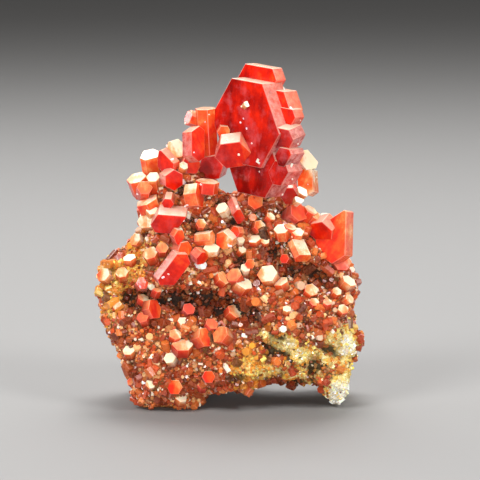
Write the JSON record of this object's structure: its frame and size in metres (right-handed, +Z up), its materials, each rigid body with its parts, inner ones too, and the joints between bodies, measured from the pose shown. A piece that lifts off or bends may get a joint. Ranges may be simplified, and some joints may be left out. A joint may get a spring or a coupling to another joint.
{
  "type": "vanadinite mineral specimen",
  "caption": "Hand-sized mineral specimen: stout six-sided red vanadinite crystals standing on a broken, crystal-crusted piece of brown and ochre rock, free-standing on its own feet.",
  "frame": {"origin": "middle of the bounding box, on the ground plane the two rock feet rest on", "axes": "+Z up, -Y towards the viewer of the picture, +X to the viewer's right"},
  "size_m": [0.0434, 0.0246, 0.0547],
  "materials": {
    "vanadinite": "glassy to resinous",
    "rock": "rough, broken"
  },
  "bodies": {
    "root": {"main_crystal": "vanadinite", "upper_left_crystals": "vanadinite", "striped_crystal": "vanadinite", "left_end_crystals": "vanadinite", "left_edge_crystal": "vanadinite", "white_face_crystal": "vanadinite", "broad_red_crystal": "vanadinite", "small_upright_plate": "vanadinite", "leaning_plate": "vanadinite", "square_block_crystal": "vanadinite", "ledge_crystal": "vanadinite", "middle_plate": "vanadinite", "cream_edge_plate": "vanadinite", "thin_plate": "vanadinite", "striped_prism": "vanadinite", "white_top_plate": "vanadinite", "ringed_crystal": "vanadinite", "split_white_crystal": "vanadinite", "right_column": "vanadinite", "ridge_crystals": "vanadinite", "right_end_crystal": "vanadinite", "cream_stepped_plate": "vanadinite", "pink_stepped_plate": "vanadinite", "cream_face_plate": "vanadinite", "matrix": "rock"}
  },
  "joints": []
}
